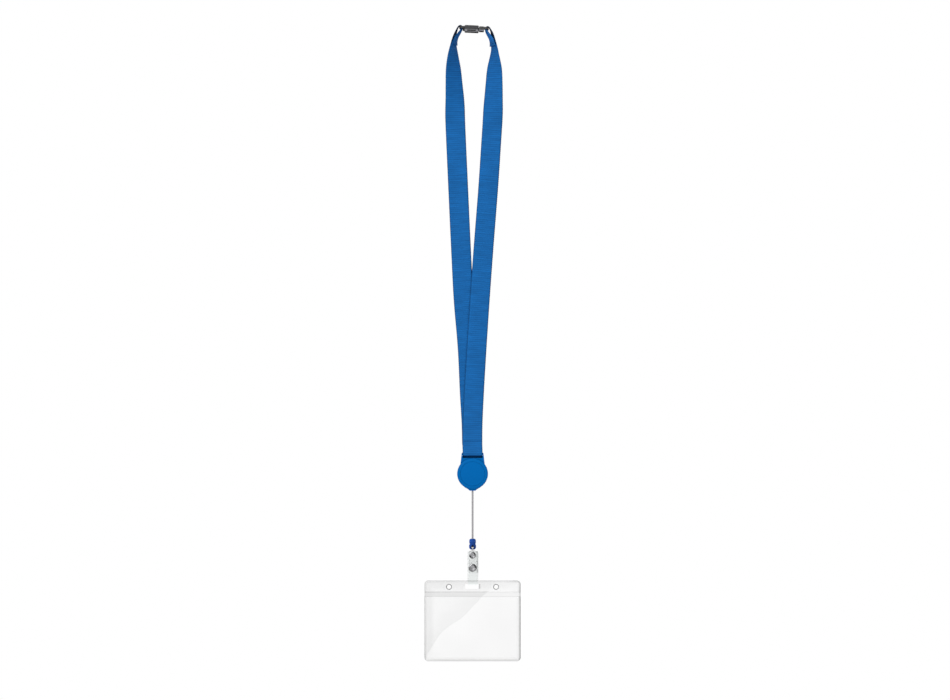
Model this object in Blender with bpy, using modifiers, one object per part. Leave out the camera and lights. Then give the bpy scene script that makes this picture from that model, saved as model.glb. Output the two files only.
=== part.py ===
"""Lanyard badge holder: neck strap, breakaway buckle, retractable reel, vinyl strap and clear badge pocket.

+Z is up and the front of the object faces -Y. The origin lies under the middle of the buckle, where the
lanyard rests on the nape of the neck. Every length is given in millimetres and scaled by MM to metres.
"""
import math

import bmesh
import bpy
from mathutils import Matrix, Vector

MM = 0.001

# neck strap webbing
WEB_WIDTH = 20.1
WEB_THICK = 0.9
STRAP_END_SPLIT = -18.0

# breakaway buckle, in its own frame, which leans a little to the right
BUCKLE_LEAN = 2.5
BUCKLE_HALF_WIDTH = 12.0
BAR_RADIUS = 1.2
ARM_END_RADIUS = 1.3
BAR_HEIGHT = 4.4
SOCKET_BAR_X = -12.7
PLUG_BAR_X = 15.3
STRAP_SLOT_HALF = 10.4

# reel
REEL_Z = -455.0
REEL_RADIUS = 15.9
REEL_WALL_RADIUS = 14.6
REEL_BACK_Y = 4.2
REEL_BAR_Z = -434.4
REEL_BAR_RADIUS = 1.15
REEL_SLOT_LOW_Z = -438.7
NOSE_Z = -472.4
LIP_TOP_Z = -436.4
LIP_FRONT_Y = 2.9
LIP_BACK_Y = 4.1

# cord and the moulded loop at its end
CORD_RADIUS = 0.75
CORD_BORE = 1.1
CORD_TOP_Z = -468.5
CORD_LOW_Z = -524.6
RING_BAR_Z = -532.45
RING_HALF_DEPTH = 0.9

# vinyl strap with its rivet and snap
VINYL_THICK = 0.8
VINYL_HALF_WIDTH = 5.0
NECK_HALF_WIDTH = 1.0
SHOULDER_Z = -534.3
RIVET_Z = -539.1
SNAP_Z = -551.9
FOLD_Z = -566.1
FOLD_RADIUS = 3.4
FOLD_LINE_Z = FOLD_Z - FOLD_RADIUS - VINYL_THICK / 2

# badge holder
BADGE_WIDTH = 99.0
BADGE_TOP_Z = -565.1
BADGE_LOW_Z = -648.3
BADGE_CORNER = 3.6
HEADER_LOW_Z = -577.6
POCKET_TOP_Z = -581.4
SHEET_THICK = 0.4
SLOT_TOP_Z = -568.5
SLOT_LOW_Z = -573.9
SLOT_HALF_WIDTH = 7.7
EYE_X = 24.3
EYE_Z = -571.6
EYE_RADIUS = 2.3
BADGE_HINGE_Z = SLOT_TOP_Z

for old in list(bpy.data.objects):
    bpy.data.objects.remove(old)

PARTS = bpy.data.collections.new("lanyard_badge_holder")
TOOLS = bpy.data.collections.new("cutters")
for group in (PARTS, TOOLS):
    bpy.context.scene.collection.children.link(group)


def add(name, data, hidden=False):
    """Put data into the scene as a part, or as a hidden cutter."""
    obj = bpy.data.objects.new(name, data)
    (TOOLS if hidden else PARTS).objects.link(obj)
    if hidden:
        obj.hide_render = True
        obj.hide_viewport = False
        obj.display_type = "WIRE"
    return obj


def finish(obj, colour, roughness, metallic=0.0, crease=35.0):
    """Give a part its own material and its shading."""
    material = bpy.data.materials.new(obj.name)
    material.use_nodes = True
    shader = material.node_tree.nodes["Principled BSDF"]
    shader.inputs["Base Color"].default_value = (*colour, 1.0)
    shader.inputs["Roughness"].default_value = roughness
    shader.inputs["Metallic"].default_value = metallic
    obj.data.materials.append(material)
    if obj.type == "MESH":
        obj.data.shade_smooth()
        obj.data.set_sharp_from_angle(angle=math.radians(crease))
    return obj


def box(name, low, high, bevel=0.0, hidden=False, parent=None):
    """A block between two corners, its edges rounded by bevel."""
    mesh = bpy.data.meshes.new(name)
    shape = bmesh.new()
    bmesh.ops.create_cube(shape, size=1.0)
    size = [(b - a) * MM for a, b in zip(low, high)]
    middle = [(a + b) / 2 * MM for a, b in zip(low, high)]
    bmesh.ops.scale(shape, vec=size, verts=shape.verts)
    bmesh.ops.translate(shape, vec=middle, verts=shape.verts)
    shape.to_mesh(mesh)
    shape.free()
    obj = add(name, mesh, hidden)
    obj.parent = parent
    if bevel:
        round_edges(obj, bevel)
    return obj


def round_edges(obj, width, segments=3, angle=40.0):
    """Round the sharp edges of a part."""
    mod = obj.modifiers.new("rounding", "BEVEL")
    mod.width = width * MM
    mod.segments = segments
    mod.limit_method = "ANGLE"
    mod.angle_limit = math.radians(angle)


def rod(name, start, end, radius, hidden=False, parent=None, sides=32):
    """A round bar between two points."""
    start, end = Vector(start) * MM, Vector(end) * MM
    mesh = bpy.data.meshes.new(name)
    shape = bmesh.new()
    bmesh.ops.create_cone(
        shape, cap_ends=True, segments=sides, radius1=radius * MM, radius2=radius * MM,
        depth=(end - start).length)
    turn = (end - start).to_track_quat("Z", "Y").to_matrix().to_4x4()
    bmesh.ops.transform(shape, matrix=Matrix.Translation((start + end) / 2) @ turn, verts=shape.verts)
    shape.to_mesh(mesh)
    shape.free()
    obj = add(name, mesh, hidden)
    obj.parent = parent
    return obj


def boolean(obj, tool, operation="DIFFERENCE"):
    """Join or cut obj with a hidden tool."""
    mod = obj.modifiers.new(operation.lower(), "BOOLEAN")
    mod.operation = operation
    mod.solver = "EXACT"
    mod.object = tool


def as_mesh(obj):
    """Turn a curve, with its modifiers, into a welded mesh part of the same name and place."""
    bpy.context.view_layer.update()
    graph = bpy.context.evaluated_depsgraph_get()
    mesh = bpy.data.meshes.new_from_object(obj.evaluated_get(graph))
    shape = bmesh.new()
    shape.from_mesh(mesh)
    bmesh.ops.remove_doubles(shape, verts=shape.verts, dist=0.00001)
    bmesh.ops.recalc_face_normals(shape, faces=shape.faces)
    shape.to_mesh(mesh)
    shape.free()
    name = obj.name
    hidden = obj.hide_render
    place = obj.matrix_world.copy()
    data = obj.data
    bpy.data.objects.remove(obj)
    bpy.data.curves.remove(data)
    result = add(name, mesh, hidden)
    result.name = name
    result.matrix_world = place
    return result


def turned(name, profile, centre, axis="Y", steps=48, closed=False, hidden=False):
    """Revolve a (radius, height) profile; heights run to the front, -Y, or up, +Z."""
    mesh = bpy.data.meshes.new(name)
    points = [(r * MM, 0.0, h * MM) for r, h in profile]
    edges = [(i, i + 1) for i in range(len(points) - 1)]
    if closed:
        edges.append((len(points) - 1, 0))
    mesh.from_pydata(points, edges, [])
    obj = add(name, mesh, hidden)
    mod = obj.modifiers.new("turning", "SCREW")
    mod.steps = steps
    mod.render_steps = steps
    mod.use_merge_vertices = True
    mod.merge_threshold = 0.00001
    obj.location = Vector(centre) * MM
    if axis == "Y":
        obj.rotation_euler = (math.radians(90), 0, 0)
    return obj


def plate(name, outlines, front, back, hidden=False):
    """A flat piece cut to outlines in X and Z, between two depths; inner outlines are holes."""
    curve = bpy.data.curves.new(name, "CURVE")
    curve.dimensions = "2D"
    curve.fill_mode = "BOTH"
    curve.extrude = (back - front) / 2 * MM
    for outline in outlines:
        spline = curve.splines.new("POLY")
        spline.points.add(len(outline) - 1)
        for point, (x, z) in zip(spline.points, outline):
            point.co = (x * MM, z * MM, 0.0, 1.0)
        spline.use_cyclic_u = True
    obj = add(name, curve, hidden)
    obj.rotation_euler = (math.radians(90), 0, 0)
    obj.location = (0, (front + back) / 2 * MM, 0)
    return as_mesh(obj)


def rounded(x0, x1, z0, z1, radius, low_only=False, high_only=False, steps=6):
    """Outline of a rectangle whose corners, or only its lower or upper ones, are rounded."""
    points = []
    corners = [(x1, z1, 0, not low_only), (x0, z1, 90, not low_only),
               (x0, z0, 180, not high_only), (x1, z0, 270, not high_only)]
    for x, z, start, is_round in corners:
        if not is_round:
            points.append((x, z))
            continue
        cx = x - math.copysign(radius, x - (x0 + x1) / 2)
        cz = z - math.copysign(radius, z - (z0 + z1) / 2)
        for i in range(steps + 1):
            a = math.radians(start + 90 * i / steps)
            points.append((cx + radius * math.cos(a), cz + radius * math.sin(a)))
    return points


def circle(x, z, radius, sides=24):
    """Outline of a round hole."""
    turn = 2 * math.pi / sides
    return [(x + radius * math.cos(i * turn), z + radius * math.sin(i * turn)) for i in range(sides)]


# --- materials -------------------------------------------------------------------------------------------

WEBBING = ((0.017, 0.135, 0.41), 0.75)
BUCKLE_BLACK = ((0.045, 0.047, 0.052), 0.35)
REEL_BLUE = ((0.002, 0.125, 0.43), 0.3)
END_BLUE = ((0.012, 0.07, 0.36), 0.3)
CLEAR = ((0.86, 0.87, 0.87), 0.15)
STEEL = ((0.72, 0.72, 0.72), 0.2, 1.0)
CORD_GREY = ((0.4, 0.4, 0.41), 0.6)
SPOOL_WHITE = ((0.75, 0.75, 0.73), 0.4)

# --- neck strap ------------------------------------------------------------------------------------------

section = bpy.data.curves.new("webbing_section", "CURVE")
section.dimensions = "2D"
edge = section.splines.new("POLY")
edge.points.add(3)
for corner, (sx, sy) in zip(edge.points, ((-1, -1), (1, -1), (1, 1), (-1, 1))):
    corner.co = (sx * WEB_WIDTH / 2 * MM, sy * WEB_THICK / 2 * MM, 0.0, 1.0)
edge.use_cyclic_u = True
webbing_section = add("webbing_section", section, hidden=True)


def webbing(name, stations):
    """Webbing along stations (x, y, z, turn): turn 0 has its width along Y, +-90 lays it flat.

    The turn is about the way the webbing runs, so a lean keeps its side by changing sign round a bar.
    """
    curve = bpy.data.curves.new(name, "CURVE")
    curve.dimensions = "3D"
    curve.twist_mode = "MINIMUM"
    curve.resolution_u = 4
    curve.bevel_mode = "OBJECT"
    curve.bevel_object = webbing_section
    curve.use_fill_caps = True
    spline = curve.splines.new("BEZIER")
    spline.bezier_points.add(len(stations) - 1)
    for point, (x, y, z, turn) in zip(spline.bezier_points, stations):
        point.co = (x * MM, y * MM, z * MM)
        point.handle_left_type = "AUTO"
        point.handle_right_type = "AUTO"
        point.tilt = math.radians(turn)
    return finish(as_mesh(add(name, curve)), *WEBBING)


# the left leg: folded end, round the socket's bar, down the outside, flattening to the front, to the seam
webbing("left_strap", [
    (-18.2, 0, -12.6, -17), (-17.6, 0, -8.6, -12), (-16.2, 0, -4.6, -9), (-13.4, 0, -0.4, -5),
    (-11.1, 0, 3.2, -1), (-10.6, 0, 5.1, 0), (-11.3, 0, 6.4, 0), (-12.6, 0, 6.95, 0),
    (-14.1, 0, 6.3, 0), (-15.2, 0, 4.8, 1), (-16.4, 0, 2.2, 3), (-18.0, 0, -2.4, 6),
    (-19.0, 0, -7.0, 11), (-19.8, 0, -13.4, 18), (-20.0, 0, -20.0, 27), (-20.1, 0, -27.0, 37),
    (-19.8, 0, -37.3, 49), (-19.1, 0, -53.0, 59), (-18.3, 0, -68.0, 70), (-17.9, 0, -90.0, 90),
    (-17.0, 0, -112.0, 90), (-15.2, 0.3, -152.0, 90), (-11.8, 0.65, -226.0, 90),
    (-9.2, 0.65, -276.0, 90), (-5.1, 0.65, -325.0, 90), (-2.7, 0.65, -375.0, 90),
    (-1.0, 0.4, -405.0, 90), (-0.5, 0, -425.0, 90),
])

# the right leg's sewn end loop, which stays with the plug when the buckle breaks away
webbing("right_strap_end", [
    (20.7, 0, -13.9, 16), (20.1, 0, -10.2, 12), (18.9, 0, -6.4, 10), (16.7, 0, -2.7, 8),
    (14.6, 0, 0.6, 5), (13.5, 0, 3.2, 1), (14.1, 0, 5.1, 0), (15.4, 0, 5.7, 0),
    (17.0, 0, 5.1, 0), (18.1, 0, 3.4, -1), (19.5, 0, 0.4, -4), (20.4, 0, -2.9, -8),
    (21.2, 0, -7.6, -11), (22.1, 0, -13.0, -16), (22.65, 0, STRAP_END_SPLIT, -20.3),
])

# the right leg: down in front of the left one, round the reel's bar and up again behind the seam
webbing("right_strap", [
    (22.7, 0, STRAP_END_SPLIT - 0.8, -21.3), (22.85, 0, -23.3, -27), (22.8, 0, -28.5, -35),
    (22.6, 0, -37.3, -48), (22.2, 0, -53.0, -59), (21.6, 0, -68.0, -69), (20.7, 0, -90.0, -90),
    (19.3, 0, -112.0, -90), (16.7, -0.3, -152.0, -90), (11.0, -0.65, -226.0, -90),
    (7.4, -0.65, -276.0, -90), (4.2, -0.65, -325.0, -90), (1.3, -0.65, -375.0, -90),
    (0.0, -0.9, -405.0, -90), (-0.2, -1.4, -420.0, -90), (-0.2, -1.7, -428.0, -90),
    (0, -1.9, -432.5, -90), (0, -1.9, REEL_BAR_Z, -90), (0, -1.34, REEL_BAR_Z - 1.34, -90),
    (0, 0, REEL_BAR_Z - 1.9, -90), (0, 1.34, REEL_BAR_Z - 1.34, -90), (0, 1.9, REEL_BAR_Z, -90),
    (0, 1.9, -432.5, -90), (-0.2, 1.7, -428.0, -90), (-0.2, 1.5, -416.5, -90),
])

# --- breakaway buckle ------------------------------------------------------------------------------------

buckle = add("buckle_frame", None)
buckle.rotation_euler = (0, math.radians(BUCKLE_LEAN), 0)


def strap_bar(part, bar_x, body_x):
    """Add the two arms and the bar that carries a strap end to one half of the buckle."""
    outward = math.copysign(1.0, bar_x - body_x)
    outline = [(body_x, BAR_HEIGHT - 0.1), (body_x, BAR_HEIGHT + 1.4)]
    for i in range(9):
        a = math.radians(90 - outward * 22.5 * i)
        outline.append((bar_x + ARM_END_RADIUS * math.cos(a), BAR_HEIGHT + ARM_END_RADIUS * math.sin(a)))
    for side in (-1, 1):
        near, far = sorted((side * STRAP_SLOT_HALF, side * BUCKLE_HALF_WIDTH))
        arm = plate(f"{part.name}_arm_{side + 1}", [outline], near, far, True)
        arm.parent = buckle
        boolean(part, arm, "UNION")
    bar = rod(part.name + "_bar", (bar_x, -11.4, BAR_HEIGHT), (bar_x, 11.4, BAR_HEIGHT), BAR_RADIUS, True,
              buckle)
    boolean(part, bar, "UNION")


socket = box("buckle_socket", (-8.4, -BUCKLE_HALF_WIDTH, 0), (6.1, BUCKLE_HALF_WIDTH, 6.8), 0.9,
             parent=buckle)
boolean(socket, box("socket_cavity", (-5.5, -9.3, 1.5), (8.0, 9.3, 5.1), 0, True, buckle))
boolean(socket, box("socket_window", (-4.0, -2.2, 4.0), (-1.0, 2.2, 8.0), 0, True, buckle))
for side in (-1, 1):
    near, far = sorted((side * 11.3, side * 13.0))
    groove = box(f"socket_groove_{side + 1}", (-5.6, near, 0.9), (3.2, far, 2.2), 0, True, buckle)
    boolean(socket, groove)
lip = box("socket_lip", (-10.3, -STRAP_SLOT_HALF, 1.6), (-7.8, STRAP_SLOT_HALF, 2.8), 0, True, buckle)
boolean(socket, lip, "UNION")
strap_bar(socket, SOCKET_BAR_X, -8.0)
finish(socket, *BUCKLE_BLACK)

plug = box("buckle_plug", (6.4, -BUCKLE_HALF_WIDTH, 1.2), (11.6, BUCKLE_HALF_WIDTH, 6.1), 0.8,
           parent=buckle)
for index, (near, far, tip) in enumerate(((-8.7, -6.3, -4.0), (-3.0, 3.0, -4.6), (6.3, 8.7, -4.0))):
    prong = box(f"plug_prong_{index}", (tip, near, 2.1), (7.4, far, 4.5), 0, True, buckle)
    boolean(plug, prong, "UNION")
strap_bar(plug, PLUG_BAR_X, 10.6)
finish(plug, *BUCKLE_BLACK)

# --- reel ------------------------------------------------------------------------------------------------

reel_centre = (0, 0, REEL_Z)

case = turned("reel_back_case", [
    (0, 2.2), (REEL_RADIUS, 2.2), (REEL_RADIUS, 0.8 - REEL_BACK_Y), (REEL_RADIUS - 0.8, -REEL_BACK_Y),
    (0, -REEL_BACK_Y)], reel_centre, steps=64)
neck = plate("case_neck", [[
    (-10.6, -433.2), (-11.2, -433.7), (-12.7, -446.5), (-12.7, -452.0), (12.7, -452.0), (12.7, -446.5),
    (11.2, -433.7), (10.6, -433.2)]], -1.6, 1.6, True)
boolean(case, neck, "UNION")
nose_side = [(9.9, -467.3), (7.7, -469.2), (5.4, -470.4), (3.9, -471.5), (2.8, -472.5), (1.6, NOSE_Z)]
nose_outline = [(8.0, -462.0)] + nose_side + [(-x, z) for x, z in reversed(nose_side)] + [(-8.0, -462.0)]
nose = plate("case_nose", [nose_outline], -2.2, 2.4, True)
boolean(case, nose, "UNION")
root = box("case_lip_root", (-11.0, 1.4, -442.0), (11.0, LIP_BACK_Y, REEL_SLOT_LOW_Z), 0, True)
boolean(case, root, "UNION")
lip = box("case_lip", (-11.0, LIP_FRONT_Y, -440.0), (11.0, LIP_BACK_Y, LIP_TOP_Z), 0, True)
boolean(case, lip, "UNION")
room = rod("case_room", (0, -2.6, REEL_Z), (0, 3.0, REEL_Z), REEL_WALL_RADIUS, True, sides=64)
boolean(case, room)
boolean(case, rod("case_axle_hole", (0, 2, REEL_Z), (0, 6, REEL_Z), 1.8, True))
boolean(case, rod("case_cord_hole", (0, 0, -466), (0, 0, -476), CORD_BORE, True, sides=24))
slot = box("case_slot", (-STRAP_SLOT_HALF, -4, REEL_SLOT_LOW_Z), (STRAP_SLOT_HALF, 2.6, -431), 0, True)
boolean(case, slot)
bar = rod("case_bar", (-10.9, 0, REEL_BAR_Z), (10.9, 0, REEL_BAR_Z), REEL_BAR_RADIUS, True)
boolean(case, bar, "UNION")
finish(case, *REEL_BLUE)

cover = turned("reel_front_cover", [
    (0, 3.3), (12.8, 3.3), (12.8, 4.0), (REEL_RADIUS - 0.9, 4.0), (REEL_RADIUS - 0.2, 3.6),
    (REEL_RADIUS, 3.1), (REEL_RADIUS, 2.5), (14.2, 2.5), (14.2, 1.0), (13.1, 1.0), (13.1, 2.5), (0, 2.5)],
    reel_centre, steps=64)
finish(cover, *REEL_BLUE)

disc = turned("reel_face_disc", [
    (0, 4.7), (5.0, 4.65), (9.0, 4.5), (11.6, 4.3), (12.3, 4.15), (12.5, 3.9), (12.5, 3.6), (0, 3.6)],
    reel_centre, steps=64)
finish(disc, *REEL_BLUE)

axle = turned("reel_axle", [
    (0, 2.0), (1.5, 2.0), (1.5, -4.5), (3.0, -4.5), (3.0, -4.8), (2.6, -5.1), (0, -5.1)], reel_centre)
finish(axle, *STEEL)

spool = turned("spool", [
    (12.2, 2.1), (12.2, 1.5), (6.3, 1.5), (6.3, -1.6), (12.2, -1.6), (12.2, -2.2), (5.2, -2.2), (5.2, 1.5),
    (1.9, 1.5), (1.9, 2.1)], reel_centre, closed=True)
finish(spool, *SPOOL_WHITE)

WRAPS = 2
WRAP_PITCH = 1.25
wraps = [(6.6, 1.2)]
for wrap in range(WRAPS):
    top = 1.2 - wrap * WRAP_PITCH
    wraps += [(9.0, top), (9.5, top - 0.3), (9.5, top - 0.95)]
wraps += [(9.0, 1.2 - WRAPS * WRAP_PITCH), (6.6, 1.2 - WRAPS * WRAP_PITCH)]
finish(turned("cord_winding", wraps, reel_centre, closed=True), *CORD_GREY)

spring_curve = bpy.data.curves.new("spiral_spring", "CURVE")
spring_curve.dimensions = "2D"
spring_curve.fill_mode = "NONE"
spring_curve.extrude = 1.4 * MM
SPRING_TURNS = 6
SPRING_STEPS = 20
coil = spring_curve.splines.new("POLY")
coil.points.add(SPRING_TURNS * SPRING_STEPS)
for i, point in enumerate(coil.points):
    along = i / (SPRING_TURNS * SPRING_STEPS)
    radius = 2.2 + 2.5 * along
    angle = 2 * math.pi * SPRING_TURNS * along
    point.co = (radius * math.cos(angle) * MM, radius * math.sin(angle) * MM, 0.0, 1.0)
spring = add("spiral_spring", spring_curve)
spring.location = Vector((0, 0.3, REEL_Z)) * MM
spring.rotation_euler = (math.radians(90), 0, 0)
leaf = spring.modifiers.new("leaf", "SOLIDIFY")
leaf.thickness = 0.15 * MM
leaf.offset = 0.0
finish(as_mesh(spring), *STEEL)

# --- cord ------------------------------------------------------------------------------------------------

finish(rod("cord", (0, 0, CORD_LOW_Z), (0, 0, CORD_TOP_Z), CORD_RADIUS, sides=16), *CORD_GREY)

ring = plate("cord_end_loop", [
    rounded(-3.6, 3.6, -533.2, -526.6, 2.7), rounded(-1.4, 1.4, -531.75, -529.4, 0.9)],
    -RING_HALF_DEPTH, RING_HALF_DEPTH)
round_edges(ring, 0.35, segments=2, angle=60)
grip = plate("cord_end_grip", [rounded(-3.4, 3.4, -527.8, -522.0, 1.9)], -1.9, 1.9, True)
round_edges(grip, 0.5, segments=2, angle=60)
boolean(ring, grip, "UNION")
boolean(ring, rod("grip_bore", (0, 0, -526), (0, 0, -520), CORD_BORE, True, sides=24))
boolean(ring, rod("grip_knot_room", (0, 0, -527.3), (0, 0, -524.7), 1.45, True, sides=24))
finish(ring, *END_BLUE)

knot_mesh = bpy.data.meshes.new("cord_knot")
ball = bmesh.new()
bmesh.ops.create_uvsphere(ball, u_segments=16, v_segments=10, radius=1.1 * MM)
ball.to_mesh(knot_mesh)
ball.free()
knot = add("cord_knot", knot_mesh)
knot.location = Vector((0, 0, -526.05)) * MM
finish(knot, *CORD_GREY)

# --- vinyl strap -----------------------------------------------------------------------------------------


def arc(centre, radius, start, end, steps):
    """Points on an arc in Y and Z, with angles measured from +Y towards +Z."""
    points = []
    for i in range(steps + 1):
        a = math.radians(start + (end - start) * i / steps)
        points.append((centre[0] + radius * math.cos(a), centre[1] + radius * math.sin(a)))
    return points


def strip(name, path):
    """A vinyl strip that follows a path of (y, z) points, its width along X."""
    curve = bpy.data.curves.new(name, "CURVE")
    curve.dimensions = "2D"
    curve.fill_mode = "NONE"
    curve.extrude = VINYL_HALF_WIDTH * MM
    spline = curve.splines.new("POLY")
    spline.points.add(len(path) - 1)
    for point, (y, z) in zip(spline.points, path):
        point.co = (y * MM, z * MM, 0.0, 1.0)
    obj = add(name, curve)
    obj.matrix_world = Matrix(((0, 0, 1, 0), (1, 0, 0, 0), (0, 1, 0, 0), (0, 0, 0, 1)))
    skin = obj.modifiers.new("skin", "SOLIDIFY")
    skin.thickness = VINYL_THICK * MM
    skin.offset = 0.0
    skin.use_even_offset = True
    return as_mesh(obj)


back_layer = strip("vinyl_strap", (
    [(-0.65, -546.3), (-0.65, -536.6), (-1.05, -535.2)]
    + arc((0, RING_BAR_Z), 1.7, 205, -25, 14)
    + [(1.05, -535.2), (0.65, -536.6), (0.65, -543.0), (1.1, -545.4), (1.9, -547.6), (1.9, -556.2),
       (2.4, -558.4), (3.15, -561.8)]
    + arc((0, FOLD_Z), FOLD_RADIUS, 0, -87, 8)))
for side in (-1, 1):
    near, far = sorted((side * NECK_HALF_WIDTH, side * 9))
    shoulder = box(f"vinyl_shoulder_{side + 1}", (near, -6, SHOULDER_Z), (far, 6, -525), 0, True)
    boolean(back_layer, shoulder)
boolean(back_layer, rod("vinyl_rivet_hole", (0, -4, RIVET_Z), (0, 4, RIVET_Z), 2.2, True))
boolean(back_layer, rod("vinyl_snap_hole", (0, 0.5, SNAP_Z), (0, 6, SNAP_Z), 1.1, True))
finish(back_layer, *CLEAR)

tail = strip("vinyl_tail", (
    list(reversed(arc((0, FOLD_Z), FOLD_RADIUS, 180, 267, 8)))
    + [(-3.15, -561.8), (-2.4, -558.4), (-1.9, -556.2), (-1.9, -546.8)]))
boolean(tail, rod("tail_snap_hole", (0, -6, SNAP_Z), (0, -0.5, SNAP_Z), 1.1, True))
finish(tail, *CLEAR)

rivet_centre = (0, 0, RIVET_Z)
finish(turned("rivet_cap", [
    (0, 1.8), (1.5, 1.8), (2.1, 2.2), (2.8, 2.2), (3.4, 1.8), (3.5, 1.35), (1.9, 1.35), (1.9, -1.7),
    (0, -1.7)], rivet_centre, steps=32), *STEEL)
finish(turned("rivet_washer", [
    (3.4, -1.35), (3.4, -1.6), (2.9, -1.9), (2.2, -1.9), (2.2, -1.35)], rivet_centre, steps=32,
    closed=True), *STEEL)

snap_centre = (0, 0, SNAP_Z)
finish(turned("snap_cap", [
    (0, 3.0), (1.4, 3.0), (2.0, 3.4), (3.2, 3.5), (4.0, 3.1), (4.2, 2.6), (0.8, 2.6), (0.8, 1.5),
    (0, 1.5)], snap_centre, steps=32), *STEEL)
finish(turned("snap_socket", [
    (0, 1.2), (3.5, 1.2), (3.5, 0.2), (3.1, -0.3), (2.1, -0.3), (1.9, 0.1), (2.2, 0.8), (0, 0.8)],
    snap_centre, steps=32), *STEEL)
finish(turned("snap_stud", [
    (0, 0.5), (1.2, 0.5), (1.55, 0.25), (1.3, -0.1), (1.3, -0.8), (3.3, -0.8), (3.3, -1.2), (0, -1.2)],
    snap_centre, steps=32), *STEEL)
finish(turned("snap_post", [
    (0, -1.5), (0.8, -1.5), (0.8, -2.6), (3.6, -2.6), (3.6, -2.9), (3.2, -3.2), (0, -3.2)], snap_centre,
    steps=32), *STEEL)

# --- badge holder ----------------------------------------------------------------------------------------

HALF = BADGE_WIDTH / 2
openings = [
    rounded(-SLOT_HALF_WIDTH, SLOT_HALF_WIDTH, SLOT_LOW_Z, SLOT_TOP_Z, 1.6),
    circle(-EYE_X, EYE_Z, EYE_RADIUS), circle(EYE_X, EYE_Z, EYE_RADIUS)]
back_sheet = plate("badge_back_sheet", [
    rounded(-HALF, HALF, BADGE_LOW_Z, BADGE_TOP_Z, BADGE_CORNER)] + openings, 0.15, 0.15 + SHEET_THICK)
finish(back_sheet, *CLEAR)
header = plate("badge_header_strip", [
    rounded(-HALF, HALF, HEADER_LOW_Z, BADGE_TOP_Z, BADGE_CORNER, high_only=True)] + openings,
    -0.15 - SHEET_THICK, -0.15)
finish(header, *CLEAR)

POCKET_FRONT = -1.5
pocket = plate("badge_pocket_sheet", [
    rounded(-HALF, HALF, BADGE_LOW_Z, POCKET_TOP_Z, BADGE_CORNER, low_only=True)], POCKET_FRONT, -0.15)
hollow = box("pocket_hollow", (-46.5, POCKET_FRONT + SHEET_THICK, -645.8), (46.5, 2, -575), 0, True)
boolean(pocket, hollow)
finish(pocket, *CLEAR)

# --- the axes the moving pieces turn about ---------------------------------------------------------------

HINGE_HEIGHTS = {
    "reel_hinge": (REEL_BAR_Z, ("reel_back_case", "reel_front_cover", "reel_face_disc", "reel_axle")),
    "spool_hinge": (REEL_Z, ("spool", "spiral_spring", "cord_winding")),
    "cord_swivel": (CORD_LOW_Z, ("cord_end_loop", "cord_knot")),
    "strap_hinge": (RING_BAR_Z, ("vinyl_strap", "rivet_cap", "rivet_washer", "snap_stud", "snap_post")),
    "fold_hinge": (FOLD_LINE_Z, ("vinyl_tail", "snap_cap", "snap_socket")),
    "badge_hinge": (BADGE_HINGE_Z, ("badge_back_sheet", "badge_header_strip", "badge_pocket_sheet")),
}
for hinge_name, (height, names) in HINGE_HEIGHTS.items():
    hinge = add(hinge_name, None)
    hinge.location = (0, 0, height * MM)
    for part_name in names:
        bpy.data.objects[part_name].parent = hinge
        bpy.data.objects[part_name].matrix_parent_inverse = Matrix.Translation((0, 0, -height * MM))
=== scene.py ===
"""Looks for the lanyard badge holder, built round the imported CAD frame.

Lengths in tables are in millimetres and are scaled by MM. The front faces -Y and +Z is up.
"""

import math

import bmesh
import bpy
import numpy as np
from mathutils import Matrix, Vector


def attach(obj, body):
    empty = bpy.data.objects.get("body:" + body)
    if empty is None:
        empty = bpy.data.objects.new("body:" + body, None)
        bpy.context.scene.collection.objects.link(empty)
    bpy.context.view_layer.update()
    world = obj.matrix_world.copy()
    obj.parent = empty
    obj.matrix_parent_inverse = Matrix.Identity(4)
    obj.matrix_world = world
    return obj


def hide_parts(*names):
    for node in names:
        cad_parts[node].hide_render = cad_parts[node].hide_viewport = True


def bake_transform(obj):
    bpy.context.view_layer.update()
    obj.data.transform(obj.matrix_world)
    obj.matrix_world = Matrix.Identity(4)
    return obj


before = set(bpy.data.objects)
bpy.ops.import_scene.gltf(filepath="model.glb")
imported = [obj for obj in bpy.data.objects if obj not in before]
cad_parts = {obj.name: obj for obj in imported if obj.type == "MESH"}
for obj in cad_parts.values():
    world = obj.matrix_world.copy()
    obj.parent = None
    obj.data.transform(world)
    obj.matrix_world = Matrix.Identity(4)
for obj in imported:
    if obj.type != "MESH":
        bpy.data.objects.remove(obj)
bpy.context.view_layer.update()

MM = 0.001
WELD = 0.004 * MM  # points closer than this are one point
scene = bpy.context.scene

# the webbing: its size, how far its ribs stand out at the edges, how it undulates and how stitches pinch it
WEB_WIDTH, WEB_THICK, WEB_STEP = 20.4, 0.92, 0.4
SCALLOP, WAVE_HEIGHT, WAVE_LENGTH = 0.11, 0.03, 17.0
PINCH_DEPTH, PINCH_REACH, THREAD_RADIUS = 0.35, 0.55, 0.16
# pitches of its weft ribs and warp yarns, how far the back's ribs are offset, and its two tones of blue
RIB_PITCH, WARP_PITCH, BACK_OFFSET = 2.06, 0.5, 0.56
WEBBING_DARK, WEBBING_LIGHT = (0.005, 0.118, 0.385, 1), (0.01, 0.148, 0.455, 1)
# the dark of the painted reflection on the metal caps
PAINTED_DARK_REFLECTION = (0.05, 0.05, 0.055, 1)


# --- node helpers ---


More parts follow.
